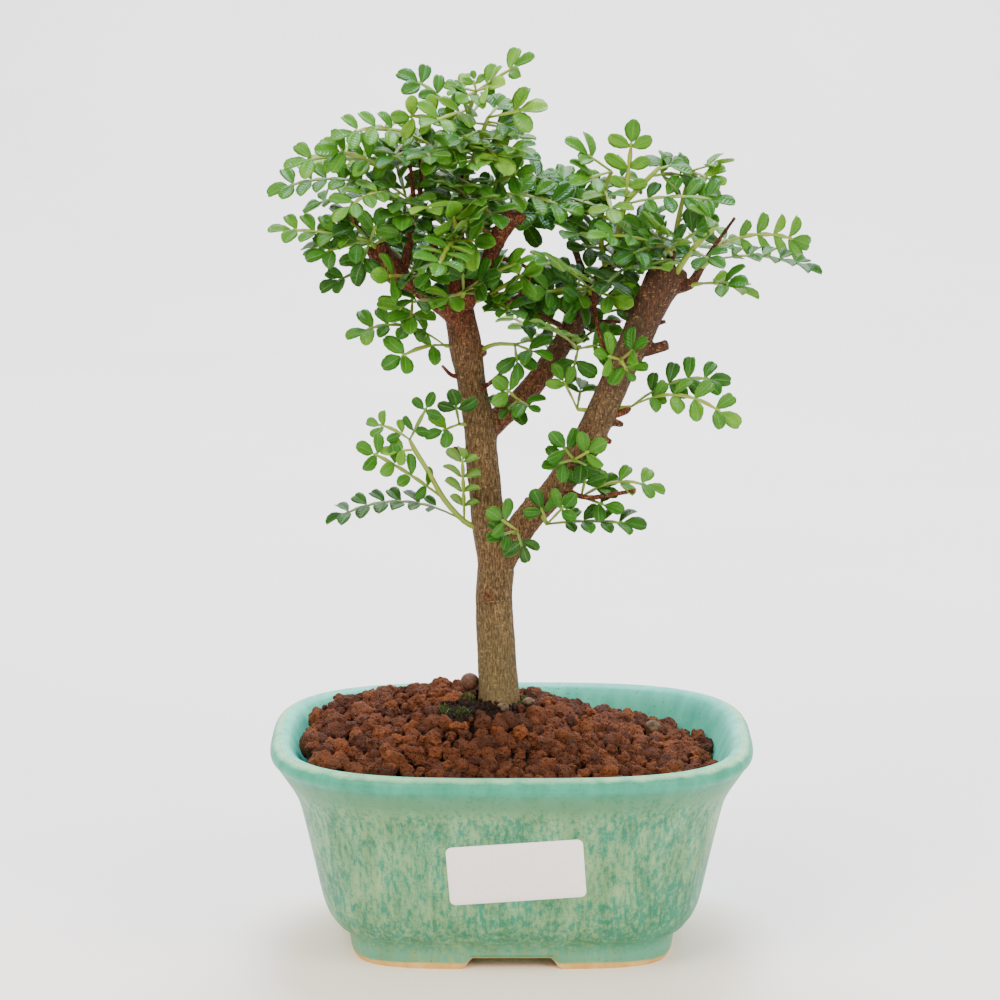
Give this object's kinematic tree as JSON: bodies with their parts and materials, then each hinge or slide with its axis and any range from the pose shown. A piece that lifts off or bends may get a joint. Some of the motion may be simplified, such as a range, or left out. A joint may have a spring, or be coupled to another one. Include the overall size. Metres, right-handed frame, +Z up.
{
  "type": "potted bonsai tree",
  "caption": "Small indoor bonsai with feathery round leaflets on a forked trunk, standing in clay granules in a rounded rectangular turquoise pot with a rolled lip and four feet.",
  "frame": {"origin": "the middle of the bounding box, on the surface the pot's feet stand on", "axes": "+X to the right along the pot's long side, +Y to the back, away from the labelled wall, +Z up"},
  "size_m": [0.1448, 0.0996, 0.2403],
  "materials": {
    "glaze": "satin",
    "paper": "matte",
    "mesh_plastic": "matte",
    "clay_granules": "matte",
    "bark": "matte",
    "leaf": "satin"
  },
  "bodies": {
    "root": {"pot": "glaze", "blank_label": "paper", "drain_screen_left": "mesh_plastic", "drain_screen_right": "mesh_plastic", "soil": "clay_granules", "trunk": "bark", "back_leader": "leaf", "back_left": "leaf", "back_middle": "leaf", "back_right": "leaf", "crown_centre": "leaf", "crown_left_high": "leaf", "crown_left_low": "leaf", "crown_left_middle": "leaf", "crown_right_fan": "leaf", "crown_right_shoot": "leaf", "crown_right_upright": "leaf", "crown_top": "leaf", "crown_top_right": "leaf", "leader_front": "leaf", "leader_right": "leaf", "left_bough_front": "leaf", "left_bough_hanging": "leaf", "left_bough_tip": "leaf", "left_bough_under": "leaf", "low_left_shoot": "leaf", "low_right_long": "leaf", "low_right_spray": "leaf", "low_right_tuft": "leaf", "middle_branch_back": "leaf", "middle_branch_low": "leaf", "middle_branch_right": "leaf", "middle_branch_tip": "leaf", "middle_branch_top": "leaf", "right_bough_front": "leaf", "right_bough_left": "leaf", "right_bough_right": "leaf", "right_bough_shoot": "leaf", "right_bough_top": "leaf", "right_bough_tuft": "leaf", "right_twig_high": "leaf", "right_twig_long": "leaf", "right_twig_low": "leaf", "trunk_head_front": "leaf", "trunk_head_right": "leaf", "trunk_left_tuft": "leaf", "trunk_left_upper": "leaf", "trunk_middle_right": "leaf"}
  },
  "joints": []
}
